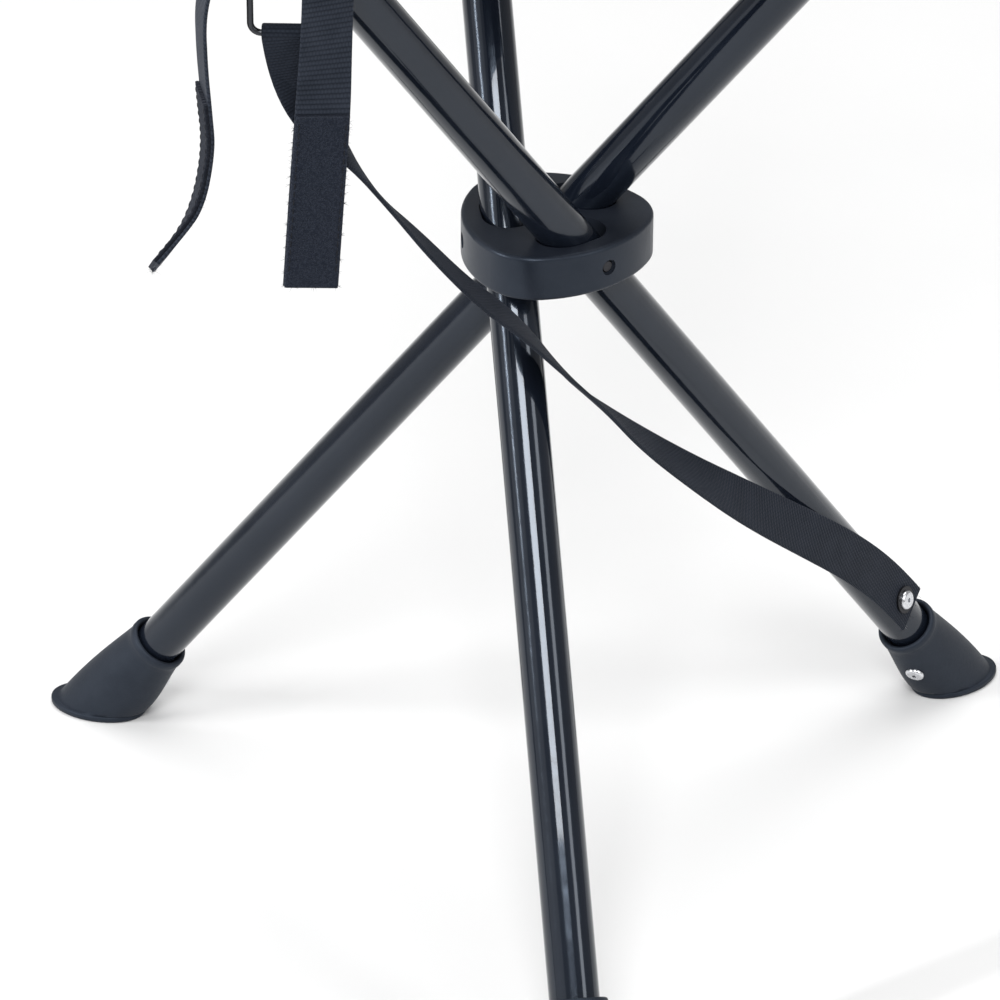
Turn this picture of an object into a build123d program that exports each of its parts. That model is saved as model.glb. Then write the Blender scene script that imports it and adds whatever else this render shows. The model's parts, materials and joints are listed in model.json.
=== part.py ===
"""Folding three-leg camp stool, in millimetres, +Z up.

Three steel tubes cross in a round plastic hub and each turns on a pin there. A triangular fabric seat is held by
pockets over the tube tops. Rubber boots cover the tube ends on the ground. A carry strap is riveted to one leg just
above its boot and sewn to the corner at that leg's top, and a hook-and-loop closure strap hangs from the same corner.

The origin is on the floor, under the hub's axis. The legs are named a, b and c, and foot c points along -Y.
"""

from build123d import *
from math import atan2, cos, degrees, hypot, radians, sin, sqrt, tan
import os

# ---------------------------------------------------------------- driving dimensions
TILT = 37.5  # lean of an open leg from the vertical, degrees
LEG_OFFSET = 16.8  # from the hub's axis to each leg's swing plane
FOOT_AZIMUTH = {"a": 30.0, "b": 150.0, "c": 270.0}  # where each foot points

TUBE_R = 9.5
TUBE_WALL = 1.2
LEG_DOWN = 335.0  # pivot to the floor, along the leg
LEG_UP = 226.0  # pivot to the tube's top end
TUBE_BOTTOM = 318.0  # pivot to the tube's lower end, inside the boot

HUB_FLAT = 34.2  # hub axis to the middle of each of the outline's three long sides
HUB_SIDE_R = 50.0
HUB_CORNER_R = 22.0
HUB_THICK = 18.0
HUB_EDGE_R = 1.6
SLOT_CLEAR = 0.35  # between a tube and its slot
POST_TIP = 2.2  # hub axis to the inner end of each pin

PIN_R = 2.5
PIN_BORE_R = 2.55
LEG_BORE_R = 2.58
PIN_RECESS = 1.0  # pin end below the hub's rim
PIN_MOUTH_R = 3.1

COLLAR_R = 12.2
COLLAR_AT = 288.0  # pivot to the boot's upper rim
BOOT_BORE_R = 9.6
BOOT_MOUTH_R = 10.8
BOOT_MOUTH_DEEP = 3.0
SOLE_HALF_LONG = 20.5
SOLE_HALF_WIDE = 13.6
SOLE_THICK = 3.0
SOLE_LIP = 1.0

PLUG_CAP = 3.0
PLUG_DEEP = 16.0

RIVET_HEAD_R = 3.9
RIVET_HEAD_H = 1.6
RIVET_SHANK_R = 1.9
RIVET_LONG = 9.0
RIVET_HOLE_R = 0.9
RIVET_HOLE_DEEP = 1.2
FOOT_RIVET_AT = 306.0
FOOT_RIVET_TURN = 155.0  # about the leg, from its upper side towards its pin side

SEAT_SAG = 13.0
SEAT_THICK = 2.0
SEAT_ABOVE_TOP = 7.5  # seat corner above the centre of the tube's end
SEAT_SIDE_IN = 4.0  # how far each edge of the seat curves inwards
SEAT_CORNER_AT = 123.0  # hub axis to where the panel ends and the pocket begins
BINDING_WIDE = 9.0
BINDING_THICK = 3.4

POCKET_WALL = 1.8
POCKET_DEEP = 38.0
POCKET_GAP = 0.3

WEB_WIDE = 20.0
WEB_THICK = 1.4
STRAP_RIVET_AT = 265.0
STRAP_RIVET_TURN = 70.0  # about the leg, from its upper side towards its pin side
WASHER_R = 5.6
WASHER_H = 0.8

# ---------------------------------------------------------------- values worked out from them
SLOPE = radians(TILT)
HUB_Z = LEG_DOWN * cos(SLOPE)
PIVOT = (0, -LEG_OFFSET, HUB_Z)  # in a leg's own frame, whose +X points to its foot
LEG = Location(Plane(origin=PIVOT, x_dir=(cos(SLOPE), 0, sin(SLOPE)), z_dir=(-sin(SLOPE), 0, cos(SLOPE))))
TOP = (-LEG_UP * sin(SLOPE), -LEG_OFFSET, HUB_Z + LEG_UP * cos(SLOPE))
CORNER_R = hypot(TOP[0], TOP[1])
CORNER_TURN = degrees(atan2(TOP[1], TOP[0]))  # the seat corner's azimuth, from the leg's foot direction
SEAT_Z = TOP[2] + SEAT_ABOVE_TOP
DISH_R = (CORNER_R**2 + SEAT_SAG**2) / (2 * SEAT_SAG)
POCKET_R = TUBE_R + POCKET_GAP + POCKET_WALL


def along(distance):
    """A place on a leg's axis, measured from the pivot towards the top."""
    return LEG * Pos(0, 0, distance)


def turned(about, distance):
    """On the leg's axis at that distance, with +Z pointing out of the leg, turned about it from its upper side."""
    return along(distance) * Rot(0, 0, -about) * Rot(0, 90, 0)


def spin(azimuth):
    return Rot(0, 0, azimuth)


def polar(radius, azimuth, aside=0.0):
    """A point at that radius and azimuth, moved sideways by aside."""
    turn = radians(azimuth)
    return Vector(radius * cos(turn) - aside * sin(turn), radius * sin(turn) + aside * cos(turn))


# ---------------------------------------------------------------- hub
def leg_slot():
    """The space that a tube sweeps in the hub between its folded and its open place, in the leg's own frame."""
    reach = HUB_THICK * 3
    radius = TUBE_R + SLOT_CLEAR
    folded = Pos(*PIVOT) * Cylinder(radius, reach)
    opened = LEG * Cylinder(radius, reach)
    half = HUB_THICK
    wedge = Polyline((0, 0), (0, half), (-half * tan(SLOPE), half), (0, 0))
    between = extrude(Plane.XZ * make_face(wedge), amount=radius, both=True)
    other = Rot(0, 180, 0) * between
    return folded + opened + Pos(*PIVOT) * (between + other)


def hub_body():
    outline = None
    for azimuth in FOOT_AZIMUTH.values():
        side = spin(azimuth - 90) * Pos(HUB_FLAT - HUB_SIDE_R, 0) * Circle(HUB_SIDE_R)
        outline = side if outline is None else outline & side
    body = Pos(0, 0, HUB_Z - HUB_THICK / 2) * extrude(outline, amount=HUB_THICK)
    body = fillet(body.edges().filter_by(Axis.Z), HUB_CORNER_R)
    body = fillet(body.faces().sort_by(Axis.Z)[-1].edges(), HUB_EDGE_R)
    body = fillet(body.faces().sort_by(Axis.Z)[0].edges(), HUB_EDGE_R)
    for azimuth in FOOT_AZIMUTH.values():
        body -= spin(azimuth) * leg_slot()
        body -= spin(azimuth) * pin_along(PIN_BORE_R, POST_TIP, HUB_FLAT + 5)
        body -= spin(azimuth) * pin_along(PIN_MOUTH_R, HUB_FLAT - PIN_RECESS - 0.2, HUB_FLAT + 5)
    return body


def pin_along(radius, start, end):
    """A rod on the pin's axis between two distances from the hub's axis, in the leg's own frame."""
    return Pos(0, -(start + end) / 2, HUB_Z) * Rot(90, 0, 0) * Cylinder(radius, end - start)


def pivot_pin():
    pin = pin_along(PIN_R, POST_TIP + 0.1, HUB_FLAT - PIN_RECESS)
    return chamfer(pin.edges(), 0.5)


# ---------------------------------------------------------------- leg
def leg_tube():
    length = LEG_UP + TUBE_BOTTOM
    tube = along((LEG_UP - TUBE_BOTTOM) / 2) * (Cylinder(TUBE_R, length) - Cylinder(TUBE_R - TUBE_WALL, length))
    return tube - pin_along(LEG_BORE_R, LEG_OFFSET - TUBE_R - 2, LEG_OFFSET + TUBE_R + 2)


def top_plug():
    stem = along(LEG_UP - PLUG_DEEP / 2) * Cylinder(TUBE_R - TUBE_WALL - 0.05, PLUG_DEEP)
    cap = along(LEG_UP + PLUG_CAP / 2) * Cylinder(TUBE_R, PLUG_CAP)
    cap = fillet(cap.faces().sort_by(Axis((0, 0, 0), (-sin(SLOPE), 0, cos(SLOPE))))[-1].edges(), 2.0)
    return stem + cap


def foot_boot():
    """A sleeve round the tube's end that widens to an oval sole, flat on the floor."""
    ground = Pos(LEG_DOWN * sin(SLOPE), -LEG_OFFSET, 0)
    collar = along(-COLLAR_AT) * Circle(COLLAR_R)
    ankle = ground * Pos(0, 0, SOLE_THICK) * Ellipse(SOLE_HALF_LONG - SOLE_LIP, SOLE_HALF_WIDE - SOLE_LIP)
    upper = loft([collar.face(), ankle.face()])
    sole = ground * extrude(Ellipse(SOLE_HALF_LONG, SOLE_HALF_WIDE), amount=SOLE_THICK)
    bore = TUBE_BOTTOM + 0.3 - COLLAR_AT
    sleeve_bore = along(-COLLAR_AT - bore / 2 + 1) * Cylinder(BOOT_BORE_R, bore + 2)
    mouth = along(-COLLAR_AT - BOOT_MOUTH_DEEP / 2) * Cone(BOOT_BORE_R, BOOT_MOUTH_R, BOOT_MOUTH_DEEP)
    return upper + sole - sleeve_bore - mouth


def rivet(under_head):
    """A blind rivet, with the hole of its drawn mandrel, whose domed head sits on the plane at under_head."""
    head = Pos(0, 0, under_head + RIVET_HEAD_H / 2) * Cylinder(RIVET_HEAD_R, RIVET_HEAD_H)
    head = fillet(head.edges().sort_by(Axis.Z)[-1], RIVET_HEAD_H * 0.75)
    shank = Pos(0, 0, under_head - RIVET_LONG / 2) * Cylinder(RIVET_SHANK_R - 0.05, RIVET_LONG)
    hole = Cylinder(RIVET_HOLE_R, 2 * RIVET_HOLE_DEEP)
    return head + shank - Pos(0, 0, under_head + RIVET_HEAD_H) * hole


# ---------------------------------------------------------------- seat
def seat_outline(inset):
    """The seat from above: three corners cut square, and edges that curve inwards."""
    points = []
    for azimuth in FOOT_AZIMUTH.values():
        at = azimuth + CORNER_TURN
        mouth = POCKET_R + 4.0 - inset * 0.6
        for side in (-mouth, mouth):
            points.append(polar(SEAT_CORNER_AT, at, side))
    edges = []
    for i, start in enumerate(points):
        end = points[(i + 1) % len(points)]
        middle = (start + end) / 2
        if i % 2:
            middle -= middle.normalized() * (SEAT_SIDE_IN + inset)
            edges.append(ThreePointArc(start, middle, end))
        else:
            edges.append(Line(start, end))
    return make_face(edges)


def dish(thick):
    """A shallow bowl of that wall thickness, whose middle surface passes through the seat's corners."""
    centre = Pos(0, 0, SEAT_Z - SEAT_SAG + DISH_R)
    shell = centre * (Sphere(DISH_R + thick / 2) - Sphere(DISH_R - thick / 2))
    return shell & Pos(0, 0, SEAT_Z - 3 * SEAT_SAG) * extrude(Circle(CORNER_R), amount=4 * SEAT_SAG)


def seat_prism(inset):
    return Pos(0, 0, SEAT_Z - 3 * SEAT_SAG) * extrude(seat_outline(inset), amount=4 * SEAT_SAG)


def seat_panel():
    return dish(SEAT_THICK) & seat_prism(BINDING_WIDE)


def edge_binding():
    return (dish(BINDING_THICK) & seat_prism(0)) - seat_prism(BINDING_WIDE)


def corner_pocket():
    """The fabric sleeve over a tube's top, closed at its upper end, in the leg's own frame."""
    end = LEG_UP + PLUG_CAP + POCKET_GAP
    outer = along(end + POCKET_WALL - (POCKET_DEEP + POCKET_WALL) / 2) * Cylinder(POCKET_R, POCKET_DEEP + POCKET_WALL)
    outer = fillet(outer.edges().sort_by(Axis((0, 0, 0), (-sin(SLOPE), 0, cos(SLOPE))))[-1], 3.0)
    return outer - along(end - POCKET_DEEP / 2) * Cylinder(TUBE_R + POCKET_GAP, POCKET_DEEP)


# ---------------------------------------------------------------- straps, all on leg a and in its own frame
# Each line: towards the foot, to the pin side, height above the pivot, twist of the flat about its run in degrees.
CARRY_ROUTE = [
    (-138.4, 23.3, 130.2, 130.0),
    (-135.5, 25.0, 110.0, 120.0),
    (-119.0, 28.0, 84.0, 75.0),
    (-103.5, 31.0, 58.0, 25.0),
    (-88.0, 35.0, 38.0, 10.0),
    (-67.0, 38.5, 13.0, 18.0),
    (-50.0, 39.5, -3.0, 22.0),
    (-32.0, 39.0, -23.0, 14.0),
    (-15.0, 38.0, -44.0, 4.0),
    (11.0, 36.5, -72.0, 20.0),
    (44.0, 34.5, -104.0, 36.0),
    (74.0, 34.0, -129.0, 54.0),
    (108.0, 33.0, -155.5, 66.0),
    (134.5, 30.0, -177.0, 70.0),
]


def ribbon(stations, wide, thick):
    """A flat strap through stations of (place, run direction, direction across the flat)."""
    sections = []
    for place, run, across in stations:
        sections.append((Plane(origin=place, x_dir=across, z_dir=run) * Rectangle(wide, thick)).face())
    return loft(sections, ruled=True)


def carry_stations():
    """The carry strap's stations, ending flat on the leg under its rivet."""
    points = [Vector(x, -side, HUB_Z + z) for x, side, z, _ in CARRY_ROUTE]
    down = Vector(sin(SLOPE), 0, -cos(SLOPE))
    seat = turned(STRAP_RIVET_TURN, -STRAP_RIVET_AT) * Pos(0, 0, TUBE_R + 0.1 + WEB_THICK / 2)
    pad = Vector(*seat.position)
    out = (pad - Vector(*along(-STRAP_RIVET_AT).position)).normalized()
    stations = []
    for i, point in enumerate(points):
        before = points[max(i - 1, 0)]
        after = points[i + 1] if i + 1 < len(points) else pad - down * 10
        run = (after - before).normalized()
        level = run.cross(Vector(0, 1, 0)).normalized()
        side = level.cross(run)
        twist = radians(CARRY_ROUTE[i][3])
        stations.append((point, run, level * sin(twist) + side * cos(twist)))
    for step in (-10.0, 8.0):
        stations.append((pad + down * step, down, out.cross(down)))
    return stations


def carry_strap():
    strap = ribbon(carry_stations(), WEB_WIDE, WEB_THICK) + ring_place() * sleeve(WEB_THICK)
    return strap - turned(STRAP_RIVET_TURN, -STRAP_RIVET_AT) * Pos(0, 0, TUBE_R) * Cylinder(RIVET_SHANK_R, 8)


def ring_place():
    """At the middle of the ring's lower bar, with +X along the bar and +Z up."""
    x, side, z = RING_BAR
    return Pos(x, -side, HUB_Z + z) * Rot(0, 0, RING_TURN)


def strap_ring():
    """A rectangular ring of round wire that joins the carry strap to the tab."""
    wide = RING_WIDE / 2
    path = FilletPolyline(
        (0, 0, 0), (wide, 0, 0), (wide, 0, RING_HIGH), (-wide, 0, RING_HIGH), (-wide, 0, 0), (-1, 0, 0),
        radius=RING_CORNER_R,
    )
    half = sweep(Plane(origin=(0, 0, 0), z_dir=(1, 0, 0)) * Circle(RING_WIRE_R), path=path)
    gap = Pos(-0.5, 0, 0) * Rot(0, 90, 0) * Cylinder(RING_WIRE_R, 1)
    return ring_place() * (half + gap)


def sleeve(thick):
    """A strap's end folded round a bar of the ring, along +X."""
    outer = RING_WIRE_R + LOOP_GAP + thick
    return Rot(0, 90, 0) * (Cylinder(outer, WEB_WIDE) - Cylinder(RING_WIRE_R + LOOP_GAP, WEB_WIDE))


def ring_tab():
    """A short webbing loop through the ring's upper bar, whose two layers are sewn into the seat's corner."""
    start = RING_HIGH + RING_WIRE_R + LOOP_GAP
    layers = Pos(0, 0, start + TAB_LONG / 2) * Box(WEB_WIDE, 2 * TAB_THICK, TAB_LONG)
    return ring_place() * (Pos(0, 0, RING_HIGH) * sleeve(TAB_THICK) + layers)


def strap_washer():
    washer = Cylinder(WASHER_R, WASHER_H) - Cylinder(RIVET_SHANK_R, WASHER_H)
    return turned(STRAP_RIVET_TURN, -STRAP_RIVET_AT) * Pos(0, 0, TUBE_R + 0.2 + WEB_THICK + WASHER_H / 2) * washer


RING_WIRE_R = 1.2
RING_WIDE = 28.0
RING_HIGH = 18.0
RING_CORNER_R = 4.0
RING_BAR = (-138.4, 23.3, 133.0)  # middle of the lower bar: towards the foot, to the pin side, above the pivot
RING_TURN = -40.0  # of the bar, about the vertical
LOOP_GAP = 0.3
TAB_THICK = 1.4
TAB_LONG = 6.0

# Closure strap tails, from where they are sewn to the pocket: towards the foot, to the pin side, above the pivot.
FRONT_TAIL = [(-129.5, 35.6, 178.0), (-130.0, 35.0, 156.0), (-131.0, 34.4, 130.0),
              (-133.0, 34.2, 100.0), (-136.5, 34.8, 70.0), (-139.5, 35.0, 38.0)]
BACK_TAIL = [(-145.3, 15.0, 182.8), (-155.0, 14.0, 179.0), (-161.5, 10.5, 164.0), (-163.5, 4.5, 144.0),
             (-161.5, 2.0, 122.0), (-160.0, 2.0, 104.0), (-158.5, 2.0, 86.0), (-163.0, 2.0, 66.0),
             (-172.0, 2.0, 54.0), (-184.0, 2.0, 46.0)]


def tail_stations(route, across):
    points = [Vector(x, -side, HUB_Z + z) for x, side, z in route]
    stations = []
    for i, point in enumerate(points):
        run = (points[min(i + 1, len(points) - 1)] - points[max(i - 1, 0)]).normalized()
        flat = across - run * across.dot(run)
        stations.append((point, run, flat.normalized()))
    return stations


def tail(route, across):
    return ribbon(tail_stations(route, across), WEB_WIDE, WEB_THICK)


def tape_patch(route, across, outward, first):
    """The hook or loop tape sewn to the outer face of a tail's lower part."""
    stations = []
    for place, run, flat in tail_stations(route, across)[first:]:
        normal = run.cross(flat).normalized()
        if normal.dot(outward) < 0:
            normal = -normal
        stations.append((place + normal * (WEB_THICK + 0.02), run, flat))
    return ribbon(stations, WEB_WIDE, WEB_THICK)


# ---------------------------------------------------------------- the whole stool
FRONT_ACROSS = Vector(0.86, -0.5, 0)
BACK_ACROSS = Vector(0.45, 0.9, 0)


def build():
    """Every node, as name to shape."""
    nodes = {"hub_body": hub_body(), "seat_panel": seat_panel(), "edge_binding": edge_binding()}
    foot_rivet = turned(FOOT_RIVET_TURN, -FOOT_RIVET_AT) * rivet(COLLAR_R + 1.0)
    for leg, azimuth in FOOT_AZIMUTH.items():
        turn = spin(azimuth)
        nodes[f"pivot_pin_{leg}"] = turn * pivot_pin()
        nodes[f"leg_tube_{leg}"] = turn * (leg_tube() - foot_rivet)
        nodes[f"top_plug_{leg}"] = turn * top_plug()
        nodes[f"foot_boot_{leg}"] = turn * (foot_boot() - foot_rivet)
        nodes[f"foot_rivet_{leg}"] = turn * foot_rivet
        nodes[f"corner_pocket_{leg}"] = turn * corner_pocket()
    turn = spin(FOOT_AZIMUTH["a"])
    strap_rivet = turned(STRAP_RIVET_TURN, -STRAP_RIVET_AT) * rivet(TUBE_R + 0.25 + WEB_THICK + WASHER_H)
    nodes["leg_tube_a"] -= turn * strap_rivet
    nodes["carry_strap"] = turn * carry_strap()
    nodes["strap_washer"] = turn * strap_washer()
    nodes["strap_ring"] = turn * strap_ring()
    nodes["ring_tab"] = turn * ring_tab()
    nodes["strap_rivet"] = turn * strap_rivet
    nodes["closure_tail_front"] = turn * tail(FRONT_TAIL, FRONT_ACROSS)
    nodes["closure_tail_back"] = turn * tail(BACK_TAIL, BACK_ACROSS)
    nodes["loop_tape"] = turn * tape_patch(FRONT_TAIL, FRONT_ACROSS, Vector(-0.5, -0.86, 0), 3)
    nodes["hook_tape"] = turn * tape_patch(BACK_TAIL, BACK_ACROSS, Vector(-1, 0, 0), 5)
    return nodes


if __name__ == "__main__":
    os.makedirs("parts", exist_ok=True)
    for name, shape in build().items():
        export_step(shape, f"parts/{name}.step")
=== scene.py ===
import json
import math
import random

import bmesh
import bpy
import numpy as np
from mathutils import Matrix, Vector


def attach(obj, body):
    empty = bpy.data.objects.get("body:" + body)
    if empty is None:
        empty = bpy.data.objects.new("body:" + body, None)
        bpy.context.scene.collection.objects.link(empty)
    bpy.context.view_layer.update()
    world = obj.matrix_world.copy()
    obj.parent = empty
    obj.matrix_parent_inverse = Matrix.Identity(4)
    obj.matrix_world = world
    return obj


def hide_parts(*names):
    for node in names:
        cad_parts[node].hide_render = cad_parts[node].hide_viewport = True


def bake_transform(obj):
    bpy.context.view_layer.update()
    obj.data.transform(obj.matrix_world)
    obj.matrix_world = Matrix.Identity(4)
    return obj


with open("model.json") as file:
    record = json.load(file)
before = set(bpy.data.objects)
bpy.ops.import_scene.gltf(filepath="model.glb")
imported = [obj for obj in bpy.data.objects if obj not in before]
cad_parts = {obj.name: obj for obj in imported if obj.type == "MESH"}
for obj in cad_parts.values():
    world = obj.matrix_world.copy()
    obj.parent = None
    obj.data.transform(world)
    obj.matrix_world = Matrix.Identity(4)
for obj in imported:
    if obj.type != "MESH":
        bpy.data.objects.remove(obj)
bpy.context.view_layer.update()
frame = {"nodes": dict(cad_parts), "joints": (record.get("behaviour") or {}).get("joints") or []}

MM = 0.001
UP = Vector((0, 0, 1))
COOL = (0.66, 0.80, 1.0, 1)  # the blue cast of light off the black finishes
SHEEN_TINT = (0.6, 0.65, 0.8, 1)


# ================================================================ the legs, from their joints
class Leg:
    """A leg's directions: foot is level and points to its foot, pin is level along its hinge and away from
    the hub, axis runs up the tube, and over is square to it, on the side that faces up below the hub."""

    def __init__(self, name):
        joint = next(j for j in frame["joints"] if j["name"] == f"fold_{name}")
        self.name = name
        self.body = joint["child"]
        self.pivot = Vector(joint["pos_m"])
        self.tilt = math.radians(joint["range_deg"][1])
        self.pin = Vector((self.pivot.x, self.pivot.y, 0)).normalized()
        self.foot = UP.cross(self.pin)
        self.axis = UP * math.cos(self.tilt) - self.foot * math.sin(self.tilt)
        self.over = self.foot * math.cos(self.tilt) + UP * math.sin(self.tilt)

    def at(self, along, out=0.0, turn=0.0):
        """A place that far up the tube from the hinge and out of its axis, turned from over to pin."""
        across = self.over * math.cos(turn) + self.pin * math.sin(turn)
        return self.pivot + self.axis * along + across * out


LEGS = {name: Leg(name) for name in "abc"}
LEG_A = LEGS["a"]
HUB_CENTRE = Vector((0, 0, LEG_A.pivot.z))
TILT = LEG_A.tilt

TUBE_R = 9.5 * MM
LEG_UP = 226 * MM  # hinge to the tube's top end
LEG_DOWN = HUB_CENTRE.z / math.cos(TILT)  # hinge to the floor, along the leg


# ================================================================ material nodes
class Nodes:
    """A material under construction, with short calls for the nodes it uses."""

    def __init__(self, name):
        self.material = bpy.data.materials.new(name)
        self.material.use_nodes = True
        self.tree = self.material.node_tree
        self.shader = self.tree.nodes["Principled BSDF"]

    def add(self, kind, **inputs):
        node = self.tree.nodes.new(kind)
        for key, value in inputs.items():
            self.put(node.inputs[key.replace("_", " ")], value)
        return node

    def put(self, socket, value):
        if isinstance(value, bpy.types.NodeSocket):
            self.tree.links.new(value, socket)
        else:
            socket.default_value = value

    def object_place(self):
        return self.add("ShaderNodeTexCoord").outputs["Object"]

    def uv(self):
        return self.add("ShaderNodeTexCoord").outputs["UV"]

    def noise(self, place, scale, detail=2.0, rough=0.5):
        node = self.add("ShaderNodeTexNoise", Vector=place, Scale=scale, Detail=detail, Roughness=rough)
        return node.outputs["Fac"]

    def math(self, operation, first, second=0.0):
        node = self.tree.nodes.new("ShaderNodeMath")
        node.operation = operation
        self.put(node.inputs[0], first)
        self.put(node.inputs[1], second)
        return node.outputs[0]

    def fit(self, value, low, high, to_low, to_high):
        """value's range from low to high, spread from to_low to to_high."""
        node = self.tree.nodes.new("ShaderNodeMapRange")
        for socket, number in zip(node.inputs, (value, low, high, to_low, to_high)):
            self.put(socket, number)
        return node.outputs[0]

    def colours(self, factor, stops):
        node = self.tree.nodes.new("ShaderNodeValToRGB")
        ramp = node.color_ramp
        while len(ramp.elements) < len(stops):
            ramp.elements.new(0.5)
        for element, (position, colour) in zip(ramp.elements, stops):
            element.position = position
            element.color = (*colour, 1)
        self.put(node.inputs["Fac"], factor)
        return node.outputs["Color"]

    def split(self, vector):
        return self.add("ShaderNodeSeparateXYZ", Vector=vector).outputs

    def bump(self, height, distance, strength=1.0, under=None):
        node = self.add("ShaderNodeBump", Height=height, Distance=distance, Strength=strength)
        if under is not None:
            self.put(node.inputs["Normal"], under)
        return node.outputs["Normal"]

    def finish(self, **inputs):
        for key, value in inputs.items():
            self.put(self.shader.inputs[key.replace("_", " ")], value)
        return self.material


def tube_paint():
    """Smooth gloss enamel, blue-black, with slight flow marks, smears and dust."""
    m = Nodes("tube_paint")
    place = m.object_place()
    flow = m.noise(place, 90, 1.0)
    dust = m.noise(place, 900, 4.0, 0.7)
    smears = m.noise(place, 22, 3.0, 0.6)
    blues = [(0.0, (0.0045, 0.0065, 0.0115)), (1.0, (0.0075, 0.010, 0.016))]
    colour = m.colours(m.fit(smears, 0.3, 0.7, 0, 1), blues)
    rough = m.math("ADD", m.fit(smears, 0.3, 0.75, 0.11, 0.19), m.fit(dust, 0.55, 0.8, 0.0, 0.10))
    normal = m.bump(flow, 0.0006, 0.25)
    normal = m.bump(dust, 0.00004, 0.5, normal)
    return m.finish(
        Base_Color=colour, Roughness=rough, Normal=normal, Coat_Weight=0.4, Coat_Roughness=0.03,
        Specular_IOR_Level=0.27, Specular_Tint=COOL,
    )


def moulded(name, dark, light, rough, grain, depth):
    """Moulded plastic or rubber with a fine spark-eroded grain and faint scuffs."""
    m = Nodes(name)
    place = m.object_place()
    fine = m.noise(place, grain, 3.0, 0.65)
    scuffs = m.noise(place, 60, 5.0, 0.7)
    colour = m.colours(m.fit(scuffs, 0.35, 0.75, 0, 1), [(0.0, dark), (1.0, light)])
    worn = m.fit(scuffs, 0.3, 0.8, rough - 0.07, rough + 0.07)
    roughness = m.math("ADD", worn, m.fit(fine, 0.3, 0.7, -0.04, 0.04))
    return m.finish(
        Base_Color=colour, Roughness=roughness, Normal=m.bump(fine, depth, 0.6),
        Specular_IOR_Level=0.3, Specular_Tint=COOL,
    )


def metal(name, colour, rough, scratch):
    m = Nodes(name)
    place = m.object_place()
    marks = m.noise(place, scratch, 4.0, 0.7)
    shade = m.colours(m.fit(marks, 0.3, 0.7, 0, 1), [(0.0, tuple(c * 0.72 for c in colour)), (1.0, colour)])
    roughness = m.fit(marks, 0.3, 0.7, rough - 0.06, rough + 0.1)
    return m.finish(Base_Color=shade, Metallic=1.0, Roughness=roughness, Normal=m.bump(marks, 0.00003, 0.5))


def webbing(name, dark, light, rib, yarn):
    """Woven strap: cross ribs of that pitch, each a row of yarn humps that are offset in every second rib."""
    m = Nodes(name)
    uv = m.uv()
    along, across, _ = m.split(uv)
    row = m.math("DIVIDE", along, rib)
    odd = m.math("MULTIPLY", m.math("MODULO", m.math("FLOOR", row), 2.0), 0.5)
    hump = m.math("ABSOLUTE", m.math("SINE", m.math("MULTIPLY", row, math.pi)))
    shifted = m.math("ADD", m.math("DIVIDE", across, yarn), odd)
    bead = m.math("ABSOLUTE", m.math("SINE", m.math("MULTIPLY", shifted, math.pi)))
    weave = m.math("POWER", m.math("MULTIPLY", hump, m.fit(bead, 0, 1, 0.45, 1)), 0.6)
    fuzz = m.noise(uv, 2600, 3.0, 0.7)
    wear = m.noise(uv, 70, 4.0, 0.6)
    # Colour follows the weave: its humps are painted lighter and its hollows darker, painted shade; the wear
    # noise adds tone that differs at random.
    weave_shade_and_wear = m.math("ADD", m.math("MULTIPLY", weave, 0.75), m.fit(wear, 0.35, 0.75, -0.1, 0.3))
    colour = m.colours(m.math("ADD", weave_shade_and_wear, m.fit(fuzz, 0.3, 0.7, -0.12, 0.12)), [(0.1, dark), (1.0, light)])
    normal = m.bump(fuzz, 0.00010, 0.5, m.bump(weave, 0.00032, 0.9))
    return m.finish(
        Base_Color=colour, Roughness=m.fit(weave, 0, 1, 0.85, 0.62), Normal=normal, Sheen_Weight=0.06,
        Sheen_Roughness=0.45, Sheen_Tint=SHEEN_TINT, Specular_IOR_Level=0.2, Specular_Tint=COOL,
    )


def oxford(name, dark, light, pitch):
    """Coarse plain-weave polyester cloth: yarns over and under both ways, with slubs and creases."""
    m = Nodes(name)
    uv = m.uv()
    along, across, _ = m.split(uv)
    one = m.math("MULTIPLY", along, math.pi / pitch)
    two = m.math("MULTIPLY", across, math.pi / pitch)
    over = m.math("MULTIPLY", m.math("SINE", one), m.math("SINE", two))
    warp = m.math("MULTIPLY", m.math("ABSOLUTE", m.math("COSINE", two)), m.fit(over, -0.3, 0.3, 0, 1))
    weft = m.math("MULTIPLY", m.math("ABSOLUTE", m.math("COSINE", one)), m.fit(over, -0.3, 0.3, 1, 0))
    weave = m.math("ADD", warp, weft)
    slubs = m.noise(uv, 900, 3.0, 0.7)
    wear = m.noise(uv, 38, 5.0, 0.65)
    creases = m.noise(uv, 17, 3.0, 0.55)
    # Colour follows the weave: the yarns' crowns are painted lighter and the hollows between them darker,
    # painted shade; the wear noise adds tone that differs at random.
    weave_shade_and_wear = m.math("ADD", m.math("MULTIPLY", weave, 0.55), m.fit(wear, 0.3, 0.75, 0.0, 0.35))
    colour = m.colours(m.math("ADD", weave_shade_and_wear, m.fit(slubs, 0.3, 0.7, -0.12, 0.12)), [(0.05, dark), (1.0, light)])
    normal = m.bump(creases, 0.0035, 0.35)
    normal = m.bump(weave, 0.00022, 0.9, normal)
    normal = m.bump(slubs, 0.00010, 0.5, normal)
    return m.finish(
        Base_Color=colour, Roughness=m.fit(weave, 0, 1, 0.82, 0.6), Normal=normal, Sheen_Weight=0.06,
        Sheen_Roughness=0.5, Sheen_Tint=SHEEN_TINT, Specular_IOR_Level=0.2, Specular_Tint=COOL,
    )


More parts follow.
